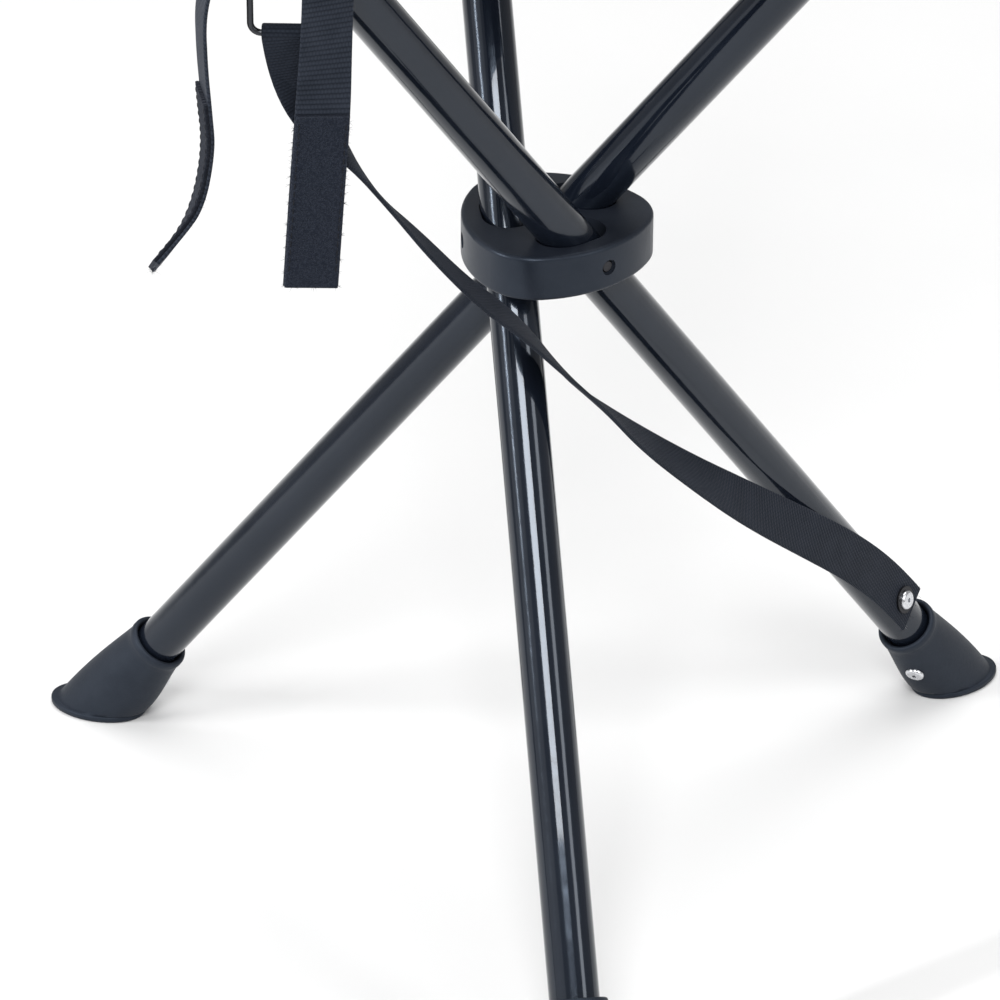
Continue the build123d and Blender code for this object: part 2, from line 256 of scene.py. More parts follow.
def pile(name, dark, light, scale, depth):
    """Hook-and-loop tape: a dense matt pile."""
    m = Nodes(name)
    uv = m.uv()
    cells = m.add("ShaderNodeTexVoronoi", Vector=uv, Scale=scale).outputs["Distance"]
    tufts = m.noise(uv, scale * 0.35, 4.0, 0.75)
    height = m.math("ADD", m.fit(cells, 0, 0.7, 1, 0), m.math("MULTIPLY", tufts, 0.8))
    # The tufts' tops are painted lighter and the gaps between them darker, painted shade.
    colour = m.colours(m.math("MULTIPLY", height, 0.6), [(0.1, dark), (1.0, light)])
    return m.finish(
        Base_Color=colour, Roughness=0.95, Normal=m.bump(height, depth, 1.0), Sheen_Weight=0.08,
        Sheen_Roughness=0.6, Sheen_Tint=SHEEN_TINT, Specular_IOR_Level=0.12, Specular_Tint=COOL,
    )


def thread():
    """Twisted sewing thread, near the cloth's own colour."""
    m = Nodes("thread")
    along, across, _ = m.split(m.uv())
    twist = m.math("SINE", m.math("MULTIPLY", m.math("ADD", along, across), 9000.0))
    # The twist's crowns are painted lighter and its grooves darker, painted highlight and painted shade.
    greys = [(0.0, (0.0035, 0.004, 0.006)), (1.0, (0.013, 0.0145, 0.020))]
    colour = m.colours(m.fit(twist, -1, 1, 0, 1), greys)
    normal = m.bump(twist, 0.0001, 0.6)
    return m.finish(Base_Color=colour, Roughness=0.75, Normal=normal, Specular_IOR_Level=0.2)


# The colours, then for plastic its roughness and its grain's scale and depth, for metal its roughness and its
# marks' scale, for webbing and cloth the pitch of ribs and yarns, and for tape its tufts' scale and depth.
PAINT = tube_paint()
HUB_PLASTIC = moulded("hub_plastic", (0.010, 0.0125, 0.0185), (0.0155, 0.0185, 0.0255), 0.40, 1500, 0.00006)
BOOT_RUBBER = moulded("boot_rubber", (0.010, 0.0125, 0.0185), (0.0175, 0.021, 0.029), 0.55, 1100, 0.00008)
PLUG_PLASTIC = moulded("plug_plastic", (0.010, 0.010, 0.012), (0.016, 0.016, 0.019), 0.5, 1300, 0.00006)
# The pins are steel, coloured near black as painted shade of the bore their ends sit in.
PIN_STEEL_PAINTED_SHADE = metal("pin_steel", (0.05, 0.05, 0.055), 0.35, 700)
RIVET_METAL = metal("rivet_metal", (0.80, 0.81, 0.84), 0.24, 900)
WASHER_STEEL = metal("washer_steel", (0.05, 0.05, 0.055), 0.4, 900)
RING_WIRE = metal("ring_wire", (0.06, 0.063, 0.07), 0.32, 700)
STRAP_WEB = webbing("strap_web", (0.0035, 0.0045, 0.0075), (0.0135, 0.016, 0.0235), 0.0011, 0.0016)
TAIL_WEB = webbing("tail_web", (0.005, 0.0065, 0.0105), (0.024, 0.028, 0.039), 0.0019, 0.0013)
BINDING_WEB = webbing("binding_web", (0.0035, 0.0042, 0.0065), (0.014, 0.016, 0.022), 0.0009, 0.0012)
SEAT_CLOTH = oxford("seat_fabric", (0.0035, 0.0042, 0.0065), (0.017, 0.0195, 0.027), 0.0009)
LOOP_PILE = pile("loop_pile", (0.0048, 0.0065, 0.0110), (0.024, 0.029, 0.043), 1500, 0.0005)
HOOK_PILE = pile("hook_pile", (0.003, 0.0035, 0.0055), (0.012, 0.0135, 0.019), 900, 0.0004)
THREAD = thread()
CORE = webbing("core_fibre", (0.10, 0.10, 0.11), (0.42, 0.42, 0.44), 0.0011, 0.0016)


# ================================================================ mesh helpers
def grid_mesh(name, rows, uvs, material):
    """A closed form through rings of points, one ring to a row, with a face over each end."""
    count = len(rows[0])
    faces, corners = [], []
    for j in range(len(rows) - 1):
        for k in range(count):
            far = (k + 1) % count
            faces.append((j * count + k, j * count + far, (j + 1) * count + far, (j + 1) * count + k))
            corners += [(j, k), (j, k + 1), (j + 1, k + 1), (j + 1, k)]
    around = list(range(count))
    for end, order in ((0, around[::-1]), (len(rows) - 1, around)):
        faces.append([end * count + k for k in order])
        corners += [(end, k) for k in order]
    mesh = bpy.data.meshes.new(name)
    mesh.from_pydata([tuple(point) for row in rows for point in row], [], faces)
    layer = mesh.uv_layers.new(name="UVMap")
    for loop, (j, k) in zip(layer.data, corners):
        loop.uv = uvs(j, k)
    mesh.polygons.foreach_set("use_smooth", [True] * len(mesh.polygons))
    mesh.materials.append(material)
    piece = bpy.data.objects.new(name, mesh)
    bpy.context.scene.collection.objects.link(piece)
    mesh.validate()
    return piece


def sharpen(piece, angle):
    """Edges sharper than that many degrees stay crisp in an otherwise smooth mesh."""
    mesh = piece.data
    normals = {}
    for polygon in mesh.polygons:
        for key in polygon.edge_keys:
            normals.setdefault(key, []).append(polygon.normal.copy())
    limit = math.radians(angle)
    for edge in mesh.edges:
        sides = normals.get(edge.key, [])
        edge.use_edge_sharp = len(sides) == 2 and sides[0].angle(sides[1], 0) > limit
    return piece


def joined(name, pieces):
    """Several pieces of one material made into one."""
    bpy.ops.object.select_all(action="DESELECT")
    for piece in pieces:
        piece.select_set(True)
    bpy.context.view_layer.objects.active = pieces[0]
    bpy.ops.object.join()
    pieces[0].name = name
    pieces[0].data.name = name
    return pieces[0]


def nurbs(points, steps=10):
    """The line of a NURBS spline with those control points, in that many steps to a span."""
    curve = bpy.data.curves.new("line", "CURVE")
    curve.dimensions = "3D"
    spline = curve.splines.new("NURBS")
    spline.points.add(len(points) - 1)
    for spot, point in zip(spline.points, points):
        spot.co = (*point, 1)
    spline.order_u = 3
    spline.use_endpoint_u = True
    spline.resolution_u = steps
    holder = bpy.data.objects.new("line", curve)
    bpy.context.scene.collection.objects.link(holder)
    mesh = bpy.data.meshes.new_from_object(holder)
    line = [vertex.co.copy() for vertex in mesh.vertices]
    bpy.data.objects.remove(holder)
    bpy.data.curves.remove(curve)
    bpy.data.meshes.remove(mesh)
    return line


def runs_of(line):
    """The direction of a line at each of its points."""
    ends = range(len(line))
    return [(line[min(i + 1, len(line) - 1)] - line[max(i - 1, 0)]).normalized() for i in ends]


def distances(line):
    """How far along a line each of its points is."""
    total, found = 0.0, [0.0]
    for near, far in zip(line, line[1:]):
        total += (far - near).length
        found.append(total)
    return found


def squared(line, across):
    """The across directions made square to the line, and the normals that go with them."""
    sides, normals = [], []
    for run, side in zip(runs_of(line), across):
        side = (side - run * side.dot(run)).normalized()
        sides.append(side)
        normals.append(run.cross(side).normalized())
    return sides, normals


def band_section(wide, thick, columns=12):
    """A flat strap's outline as (across, out) pairs, with a slightly fuller rounded edge."""
    half, deep = wide / 2, thick / 2
    flat = half - deep
    top = [(-flat + 2 * flat * k / columns, deep) for k in range(columns + 1)]
    right = [(flat + deep * math.cos(a), deep * math.sin(a)) for a in (math.pi / 4, 0, -math.pi / 4)]
    bottom = [(-x, -y) for x, y in top]
    left = [(-x, -y) for x, y in right]
    return top + right + bottom + left


def band(name, line, across, wide, thick, material, lift=0.0):
    """A flat strap along a line. lift moves it along its normals, for tape sewn on another strap."""
    sides, normals = squared(line, across)
    section = band_section(wide, thick)
    far = distances(line)
    rows = [
        [spot + side * x + normal * (y + lift) for x, y in section]
        for spot, side, normal in zip(line, sides, normals)
    ]
    widths = [x for x, _ in section] + [section[0][0]]
    return sharpen(grid_mesh(name, rows, lambda j, k: (far[j], widths[k]), material), 50)


def rod(name, line, radius, material, sides=6, taper=False):
    """A thin round thread or fibre along a line."""
    runs = runs_of(line)
    guide = runs[0].orthogonal().normalized()
    far = distances(line)
    turns = [2 * math.pi * k / sides for k in range(sides)]
    rows = []
    for i, (spot, run) in enumerate(zip(line, runs)):
        guide = (guide - run * guide.dot(run)).normalized()
        other = run.cross(guide)
        size = radius * (1 - 0.8 * i / (len(line) - 1)) if taper else radius
        rows.append([spot + (guide * math.cos(turn) + other * math.sin(turn)) * size for turn in turns])
    around = 2 * math.pi * radius / sides
    return grid_mesh(name, rows, lambda j, k: (far[j], k * around), material)


# The pitch of the stitches and the radius of the thread.
SEAT_STITCH = (3.0 * MM, 0.28 * MM)
STRAP_STITCH = (2.6 * MM, 0.27 * MM)
TAPE_STITCH = (3.2 * MM, 0.24 * MM)


def stitches(name, line, normals, stitch):
    """A row of sewn stitches on a line that lies on a surface, each a short bowed thread."""
    pitch, radius = stitch
    far = distances(line)
    long = pitch * 0.72
    pieces = []

    def spot(distance):
        reached = next((n for n, d in enumerate(far) if d >= distance), len(far) - 1)
        i = max(1, min(len(far) - 1, reached))
        share = (distance - far[i - 1]) / max(far[i] - far[i - 1], 1e-9)
        return line[i - 1].lerp(line[i], share), normals[i - 1].lerp(normals[i], share).normalized()

    for n in range(int((far[-1] - long) / pitch) + 1):
        bowed = []
        for share, rise in ((0.0, -0.6), (0.18, 0.35), (0.5, 0.75), (0.82, 0.35), (1.0, -0.6)):
            place, normal = spot(n * pitch + long * share)
            bowed.append(place + normal * radius * rise)
        pieces.append(rod("stitch", bowed, radius, THREAD, sides=5))
    return joined(name, pieces)


def settle(piece, body, slot, *nodes):
    """The piece rides on that body and stands for those CAD nodes, which it hides. slot is not used."""
    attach(piece, body)
    if nodes:
        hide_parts(*nodes)
    return piece


# ================================================================ CAD parts that stay: their materials
KEPT = {
    "hub_body": HUB_PLASTIC, "pivot_pin": PIN_STEEL_PAINTED_SHADE, "leg_tube": PAINT, "top_plug": PLUG_PLASTIC,
    "foot_rivet": RIVET_METAL, "strap_rivet": RIVET_METAL, "strap_washer": WASHER_STEEL,
    "strap_ring": RING_WIRE,
}
for node_name, node in frame["nodes"].items():
    for stem, material in KEPT.items():
        if node_name.startswith(stem):
            node.data.materials.clear()
            node.data.materials.append(material)


# ================================================================ boots
COLLAR_AT = 288 * MM  # hinge to the rim of the boot's mouth
COLLAR_R = 12.2 * MM
COLLAR_LONG = 3.6 * MM
MOUTH_R = 10.0 * MM
SOLE_LONG = 20.5 * MM  # half sizes of the sole
SOLE_WIDE = 13.6 * MM
SOLE_THICK = 3.0 * MM
FLARE = 1.2  # how late the sleeve turns from round to oval
SLEEVE_ROWS = 16
# In mm: how far below the rim, and how far outside MOUTH_R or COLLAR_R.
MOUTH_RINGS = [(11, -0.35), (2.2, -0.1), (0.8, 0.25), (-0.1, 0.8), (-0.3, 1.4)]
COLLAR_RINGS = [(0, -0.05), (0.7, 0.25), (2.2, 0.3), (3.0, 0.15), (3.6, -0.05)]
# In mm: how far outside the sole's half sizes, and how high above the floor, with two grooves underneath.
SOLE_RINGS = [
    (-0.75, 2.85), (-0.2, 2.7), (0, 2.3), (0, 0.9), (-0.35, 0.35), (-1.0, 0), (-3.0, 0), (-3.4, 0.7),
    (-5.6, 0.7), (-6.0, 0), (-8.0, 0), (-8.4, 0.7),
]


def boot(leg):
    """A rubber boot: a rolled collar, a sleeve that flares, and an oval sole with a lip, on the floor."""
    around = 72
    ground = leg.pivot - leg.axis * LEG_DOWN

    def ring(along, radius, flare=0.0, lip=0.0, rise=None):
        """A ring that turns from square to the leg, at flare 0, to level and oval, at flare 1."""
        centre = leg.pivot - leg.axis * along if rise is None else ground + UP * rise
        forward = leg.over.lerp(leg.foot, flare).normalized()
        long = radius + (SOLE_LONG - radius) * flare + lip
        wide = radius + (SOLE_WIDE - radius) * flare + lip
        turns = [2 * math.pi * k / around for k in range(around)]
        return [centre + forward * (long * math.cos(t)) + leg.pin * (wide * math.sin(t)) for t in turns]

    rows = [ring(COLLAR_AT + down * MM, MOUTH_R + out * MM) for down, out in MOUTH_RINGS]
    rows += [ring(COLLAR_AT + down * MM, COLLAR_R + out * MM) for down, out in COLLAR_RINGS]
    sleeve = LEG_DOWN - COLLAR_AT - COLLAR_LONG - SOLE_THICK / math.cos(TILT)
    for step in range(1, SLEEVE_ROWS + 1):
        share = step / SLEEVE_ROWS
        flare = share**FLARE
        along = COLLAR_AT + COLLAR_LONG + sleeve * share
        rows.append(ring(along, COLLAR_R - 0.05 * MM, flare, -0.9 * MM * flare))
    rows += [ring(0, COLLAR_R, 1, lip * MM, rise * MM) for lip, rise in SOLE_RINGS]
    count = len(rows)
    piece = grid_mesh(f"boot_{leg.name}", rows, lambda j, k: (k / around, j / count), BOOT_RUBBER)
    return settle(sharpen(piece, 55), leg.body, "boot_rubber", f"foot_boot_{leg.name}")


for leg in LEGS.values():
    boot(leg)


# ================================================================ seat: one cloth, in sectors
SEAT_SAG = 13 * MM
SEAT_ABOVE_TOP = 7.5 * MM
CORNER_AT = 123 * MM  # hub's axis to the corner's square end
CORNER_HALF = 15.6 * MM
MIDDLE_AT = 71 * MM  # hub's axis to the middle of an edge
CLOTH = 1.2 * MM
# Distances towards a corner; the second is where the seat's middle pieces end and its corner pieces start.
RISE_FROM, RISE_TO, TURN_TO = 26 * MM, 45 * MM, 120 * MM
SEAT_COLUMNS = 40

TOP_A = LEG_A.at(LEG_UP)
CORNER_R = Vector((TOP_A.x, TOP_A.y)).length
FAN_FROM = CORNER_AT + 16 * MM  # where the folds of tension start
DISH_R = (CORNER_R**2 + SEAT_SAG**2) / (2 * SEAT_SAG)
DISH_BOTTOM = TOP_A.z + SEAT_ABOVE_TOP - SEAT_SAG
MIDDLE_P = MIDDLE_AT * math.cos(math.pi / 3)


def edge_circle():
    """The arc of a seat's edge, in a sector's own plane: the distance of its centre and its radius."""
    towards = CORNER_AT * math.cos(math.pi / 3) + CORNER_HALF * math.sin(math.pi / 3)
    square = CORNER_AT**2 + CORNER_HALF**2
    centre = (square - MIDDLE_AT**2) / (2 * (towards - MIDDLE_AT))
    return centre, centre - MIDDLE_AT


EDGE_CENTRE, EDGE_RADIUS = edge_circle()


def half_width(p):
    """How wide half the seat is at that distance towards a corner."""
    if p <= MIDDLE_P:
        return p * math.tan(math.pi / 3)
    ahead = p - EDGE_CENTRE * math.cos(math.pi / 3)
    return EDGE_CENTRE * math.sin(math.pi / 3) - math.sqrt(EDGE_RADIUS**2 - ahead**2)


class Sector:
    """A third of the seat, towards one leg's top: out is level towards the corner, side level across it."""

    def __init__(self, leg):
        top = leg.at(LEG_UP)
        self.leg = leg
        self.out = Vector((top.x, top.y, 0)).normalized()
        self.side = UP.cross(self.out)

    def flat(self, p, q):
        return self.out * p + self.side * q


SECTORS = {name: Sector(leg) for name, leg in LEGS.items()}


def seat_height(flat):
    """The cloth's height: a shallow dish, with folds of tension from its corners and slack ripples."""
    radius = flat.length
    height = DISH_BOTTOM + DISH_R - math.sqrt(DISH_R**2 - radius**2)
    for n, sector in enumerate(SECTORS.values()):
        p, q = flat.dot(sector.out), flat.dot(sector.side)
        away = max(FAN_FROM - p, 4 * MM)
        reach = math.exp(-((away / (62 * MM)) ** 2)) * min(1.0, away / (26 * MM))
        fan = math.atan2(q, away)
        height += 0.75 * MM * reach * math.sin(11 * fan + 1.1 * n) * math.cos(fan) ** 2
    height += 0.45 * MM * math.sin(flat.x / (29 * MM) + 0.8) * math.cos(flat.y / (33 * MM) - 0.4)
    return height + 0.18 * MM * math.sin(flat.x / (11 * MM) + flat.y / (17 * MM))


def on_seat(flat, lift):
    """The place over or under that level place, at that distance above the cloth's middle surface."""
    return flat + UP * (seat_height(flat) + lift)


def cloth_patch(name, sector, places):
    """A closed piece of cloth, top and underside, across a sector from the first place to the last."""
    rows, flats = [], []
    for out in places:
        half = half_width(out)
        over = [sector.flat(out, half * (2 * k / SEAT_COLUMNS - 1)) for k in range(SEAT_COLUMNS + 1)]
        under = over[::-1]
        flats.append(over + under)
        rows.append([on_seat(p, CLOTH / 2) for p in over] + [on_seat(p, -CLOTH / 2) for p in under])
    count = len(rows[0])
    piece = grid_mesh(name, rows, lambda j, k: flats[j][k % count].xy, SEAT_CLOTH)
    build = bmesh.new()
    build.from_mesh(piece.data)
    bmesh.ops.remove_doubles(build, verts=build.verts, dist=1e-6)
    bmesh.ops.dissolve_degenerate(build, edges=build.edges, dist=1e-7)
    build.to_mesh(piece.data)
    build.free()
    return sharpen(piece, 60)


def steps(start, end, size):
    """Even places from start to end, no further apart than size."""
    count = max(1, math.ceil((end - start) / size))
    return [start + (end - start) * n / count for n in range(count + 1)]


def inner_blend(piece, sector):
    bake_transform(piece)


def outer_blend(piece, sector):
    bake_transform(piece)


INNER = steps(0, MIDDLE_P, 1.6 * MM) + steps(MIDDLE_P, RISE_TO, 1.6 * MM)[1:]
OUTER = steps(RISE_TO, CORNER_AT, 2.6 * MM)


def seat_cloth():
    for name, sector in SECTORS.items():
        for part, places, blend in (("middle", INNER, inner_blend), ("corner", OUTER, outer_blend)):
            piece = cloth_patch(f"seat_{part}_{name}", sector, places)
            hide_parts("seat_panel")
            blend(piece, sector)


# ---------------------------------------------------------------- the webbing folded over the seat's edges
BINDING_IN = 9 * MM
BINDING_OUT = 0.9 * MM
BINDING_HALF = 1.25 * MM  # half its thickness at the stitches
FOLD_HALF = 1.6 * MM  # half its thickness at the fold


def binding_section(columns=7):
    """The binding's outline as (inwards, up) from the seat's edge: round at the fold, flat where sewn."""
    top = []
    for k in range(columns + 1):
        share = k / columns
        lift = BINDING_HALF + (FOLD_HALF - BINDING_HALF) * math.exp(-((share / 0.35) ** 2))
        lift += 0.22 * MM * math.sin(3 * math.pi * share) * share
        top.append((BINDING_IN * share, lift))
    top.append((BINDING_IN + 0.25 * MM, BINDING_HALF * 0.55))
    fold = [(-BINDING_OUT * math.cos(a), FOLD_HALF * math.sin(a)) for a in (0.35, 0.0, -0.35)]
    fold = [(-BINDING_OUT * 0.75, FOLD_HALF * 0.8)] + fold + [(-BINDING_OUT * 0.75, -FOLD_HALF * 0.8)]
    bottom = [(x, -y) for x, y in top]
    return top[::-1] + fold + bottom


BINDING_SECTION = binding_section()


def edge_frame(sector, p, hand):
    """The level place on the seat's edge at that distance, and the way inwards. Both sectors agree on them
    where they meet."""
    square = sector.side * -hand
    ray = -(sector.out * math.cos(math.pi / 3) + sector.side * (hand * math.sin(math.pi / 3)))
    share = min(1.0, max(0.0, (p - MIDDLE_P) / (RISE_TO - MIDDLE_P)))
    share = share * share * (3 - 2 * share)
    return sector.flat(p, hand * half_width(p)), ray.lerp(square, share).normalized()


def edge_spot(sector, p, hand, inwards, lift):
    edge, inner = edge_frame(sector, p, hand)
    return on_seat(edge + inner * inwards, lift)


def binding_piece(name, sector, places):
    made = []
    for hand in (1, -1):
        ring = BINDING_SECTION if hand > 0 else BINDING_SECTION[::-1]
        rows = []
        for p in places:
            ripple = 0.12 * MM * math.sin(p / (3.1 * MM)) if places[0] < p < places[-1] else 0.0
            rises = [y + ripple * max(0.0, 1 - x / BINDING_IN) for x, y in ring]
            rows.append([edge_spot(sector, p, hand, x, rise) for (x, _), rise in zip(ring, rises)])
        lengths = distances([row[0] for row in rows])
        around = distances([Vector((x, y, 0)) for x, y in ring + ring[:1]])
        made.append(grid_mesh(name, rows, lambda j, k: (lengths[j], around[k]), BINDING_WEB))
    return sharpen(joined(name, made), 60)


def seam(name, sector, places):
    """Stitches along the binding's inner edge, above and below."""
    made = []
    for hand in (1, -1):
        for face in (1, -1):
            lift = face * (BINDING_HALF + 0.12 * MM)
            line = [edge_spot(sector, p, hand, BINDING_IN - 1.5 * MM, lift) for p in places]
            made.append(stitches(name, line, [UP * face] * len(line), SEAT_STITCH))
    return joined(name, made)


def seat_edges():
    inner = steps(MIDDLE_P, RISE_TO, 1.2 * MM)
    outer = steps(RISE_TO, CORNER_AT + 2 * MM, 1.6 * MM)
    margin = 0.6 * MM
    for name, sector in SECTORS.items():
        for part, places, sewn, blend in (
            ("middle", inner, steps(MIDDLE_P + margin, RISE_TO - margin, 1.2 * MM), inner_blend),
            ("corner", outer, steps(RISE_TO + margin, CORNER_AT - 5 * MM, 1.6 * MM), outer_blend),
        ):
            tape = binding_piece(f"binding_{part}_{name}", sector, places)
            for piece in (tape, seam(f"binding_seam_{part}_{name}", sector, sewn)):
                blend(piece, sector)
            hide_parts("edge_binding")


# ---------------------------------------------------------------- the pockets over the tubes' tops
POCKET_R = 11.5 * MM
POCKET_TOP = 230.6 * MM
POCKET_HEM = 191.3 * MM
HEM_TALL = 8 * MM
END_ROUND = 3 * MM
# How far above the hem's edge and the radius there, in mm, and how strongly it creases: down the inside, then
# up the outside.
HEM_RINGS = [
    (12, 9.75, 0), (1, 9.8, 0), (0.1, 10.2, 0), (0, 11.0, 0.3), (0.5, 11.9, 0.5), (1.5, 12.2, 0.5),
    (3.2, 12.15, 0.6), (4.8, 12.15, 0.6), (6.4, 12.15, 0.6), (8, 12.05, 0.6), (8.5, 11.5, 0.8),
]
# The same for the closed end, above POCKET_TOP.
END_RINGS = [(0.2, 6, 0.2), (0.4, 3, 0), (0.45, 0.6, 0)]


def pocket(leg):
    """A sewn sleeve over the tube's top, with a folded hem, soft creases and a closed end."""
    around = 56
    rng = random.Random(ord(leg.name))
    first, second, third = [rng.uniform(0, 2 * math.pi) for _ in range(3)]

    def ring(along, radius, crease=1.0):
        points = []
        for k in range(around):
            turn = 2 * math.pi * k / around
            rumple = math.sin(3 * turn + first + along * 260) * 0.22
            rumple += math.sin(5 * turn - along * 410 + second) * 0.14
            rumple += math.sin(along * 900 + 2 * turn + third) * 0.16
            points.append(leg.at(along, radius + rumple * crease * MM, turn))
        return points

    rows = [ring(POCKET_HEM + up * MM, radius * MM, crease) for up, radius, crease in HEM_RINGS]
    body = steps(POCKET_HEM + HEM_TALL + 2 * MM, POCKET_TOP - END_ROUND, 1.7 * MM)
    rows += [ring(along, POCKET_R) for along in body]
    for n in range(1, 7):
        turn = n / 6 * math.pi / 2
        along = POCKET_TOP - END_ROUND + END_ROUND * math.sin(turn)
        rows.append(ring(along, POCKET_R - END_ROUND + END_ROUND * math.cos(turn), 0.7))
    rows += [ring(POCKET_TOP + up * MM, radius * MM, crease) for up, radius, crease in END_RINGS]
    climb = distances([row[0] for row in rows])
    girth = 2 * math.pi * POCKET_R / around
    piece = grid_mesh(f"pocket_{leg.name}", rows, lambda j, k: (climb[j], k * girth), SEAT_CLOTH)
    settle(sharpen(piece, 65), leg.body, "seat_fabric", f"corner_pocket_{leg.name}")

    turns = [2 * math.pi * k / 48 for k in range(48)]
    line = [leg.at(POCKET_HEM + HEM_TALL - 1.6 * MM, 12.35 * MM, turn) for turn in turns]
    outs = [leg.at(0, 1, turn) - leg.at(0) for turn in turns]
    hem = stitches(f"pocket_hem_seam_{leg.name}", line, outs, SEAT_STITCH)
    settle(hem, leg.body, "binding_web")


def sheet_of(name, rows, thick, material):
    """A closed cloth of that thickness whose top side passes through those rows of points."""
    count, deep = len(rows[0]), len(rows)
    grid = np.array([[tuple(p) for p in row] for row in rows])
    normal = np.cross(np.gradient(grid, axis=1), np.gradient(grid, axis=0))
    normal /= np.linalg.norm(normal, axis=2, keepdims=True) + 1e-12
    if normal[deep // 3, count // 2][2] < 0:
        normal = -normal
    under = grid - normal * thick
    closed = [[Vector(p) for p in top] + [Vector(p) for p in below[::-1]] for top, below in zip(grid, under)]
    far = distances([Vector(p) for p in grid[:, count // 2]])
    wide = distances([Vector(p) for p in grid[0]])
    wide = wide + wide[::-1] + [wide[0]]
    return sharpen(grid_mesh(name, closed, lambda j, k: (far[j], wide[k]), material), 60)


SEWN_AT = POCKET_TOP - 9 * MM  # where the corner's cover comes down on the pocket


def corner_cover(sector):
    """The cloth's corner, doubled, that runs over the pocket's end and is sewn down on it. It returns the
    rows of points of its top side."""
    leg = sector.leg
    across, along = 30, 26
    start_p = CORNER_AT - 5 * MM
    wrap = math.radians(112)
    start_lift = BINDING_HALF + 1.1 * MM
    shares = [2 * k / across - 1 for k in range(across + 1)]
    tops = []
    for j in range(along + 1):
        t = j / along
        h00, h10 = 2 * t**3 - 3 * t**2 + 1, t**3 - 2 * t**2 + t
        h01, h11 = -2 * t**3 + 3 * t**2, t**3 - t**2
        row = []
        for s in shares:
            begin = on_seat(sector.flat(start_p, s * (half_width(start_p) + 0.9 * MM)), start_lift)
            finish = leg.at(SEWN_AT, POCKET_R + 0.7 * MM, -s * wrap)
            out_of_leg = (leg.at(0, 1, -s * wrap) - leg.at(0)).normalized()
            lead = sector.out * (15 * MM) - UP * (s * s * 6 * MM)
            tail = (-leg.axis * 6 * MM + out_of_leg * 7 * MM) * (0.5 + abs(s))
            spot = begin * h00 + lead * h10 + finish * h01 - tail * h11
            row.append(spot + UP * (0.3 * MM * math.sin(7 * s + 5 * t) * math.sin(math.pi * t)))
        tops.append(row)
    for n in range(1, 5):
        tops.append([leg.at(SEWN_AT - n * 1.4 * MM, POCKET_R + 0.75 * MM, -s * wrap) for s in shares])
    piece = sheet_of(f"corner_cover_{leg.name}", tops, 1.1 * MM, SEAT_CLOTH)
    settle(piece, leg.body, "seat_fabric")
    return tops


def cover_seams(sector, tops):
    """Stitches where the cover is sewn on the seat and round the pocket."""
    leg = sector.leg
    made = []
    for j in (1, 3):
        line = [p + UP * 0.1 * MM for p in tops[j][2:-2]]
        made.append(stitches("seam", line, [UP] * len(line), SEAT_STITCH))
    row = tops[-2]
    outs = [(p - leg.at((p - leg.pivot).dot(leg.axis))).normalized() for p in row]
    made.append(stitches("seam", [p + o * 0.12 * MM for p, o in zip(row, outs)], outs, SEAT_STITCH))
    settle(joined(f"corner_cover_seam_{leg.name}", made), leg.body, "binding_web")


seat_cloth()
seat_edges()
for leg in LEGS.values():
    pocket(leg)
for sector in SECTORS.values():
    cover_seams(sector, corner_cover(sector))


# ================================================================ straps, all on leg a
WEB_WIDE = 20 * MM
WEB_THICK = 1.4 * MM
RIVET_AT = 265 * MM  # hinge to the rivet, down leg a
RIVET_TURN = math.radians(70)
RING_BAR = (-138.4, 23.3, 133.0)  # middle of the ring's lower bar
RING_TURN = math.radians(-40)
RING_HIGH = 18 * MM
RING_WIRE_R = 1.2 * MM

# Towards the foot, to the pin side and above the hinge, all in mm, and the twist about its run in degrees.
CARRY_ROUTE = [
    (-138.4, 23.3, 130.2, 130.0),
    (-135.5, 25.0, 110.0, 105.0),
    (-119.0, 28.0, 84.0, 28.0),
    (-103.5, 31.0, 58.0, 11.0),
    (-88.0, 35.0, 38.0, 22.0),
    (-67.0, 38.5, 12.0, 23.0),
    (-50.0, 39.5, -4.0, 22.0),
    (-32.0, 39.0, -25.0, 18.0),
    (-15.0, 38.0, -46.5, 2.0),
    (11.0, 36.5, -74.0, 22.0),
    (44.0, 34.5, -104.0, 36.0),
    (74.0, 34.0, -129.0, 54.0),
    (108.0, 33.0, -155.5, 66.0),
    (134.5, 30.0, -177.0, 70.0),
]
# The same three directions, for the closure strap's tails, from where they are sewn to the pocket.
FRONT_TAIL = [
    (-133.5, 30.6, 181.0), (-130.5, 35.2, 172.0), (-130.0, 35.0, 156.0), (-131.0, 34.4, 130.0),
    (-133.0, 34.2, 100.0), (-136.5, 34.8, 70.0), (-139.5, 35.0, 38.0),
]
BACK_TAIL = [
    (-137.5, 15.0, 187.5), (-145.3, 15.0, 183.2), (-155.0, 14.0, 179.0), (-161.5, 10.5, 164.0),
    (-163.5, 4.5, 144.0), (-161.5, 2.0, 122.0), (-160.0, 2.0, 104.0), (-158.5, 2.0, 86.0),
    (-163.0, 2.0, 66.0), (-172.0, 2.0, 54.0), (-184.0, 2.0, 46.0),
]


def leg_direction(ahead, back_side, above):
    """A direction on leg a: towards its foot, away from its pin side, and up."""
    return (LEG_A.foot * ahead - LEG_A.pin * back_side + UP * above).normalized()


def leg_place(ahead, aside, above):
    """A place that many mm towards leg a's foot, to its pin's side, and above its hinge."""
    return LEG_A.foot * (ahead * MM) + LEG_A.pin * (aside * MM) + UP * (LEG_A.pivot.z + above * MM)


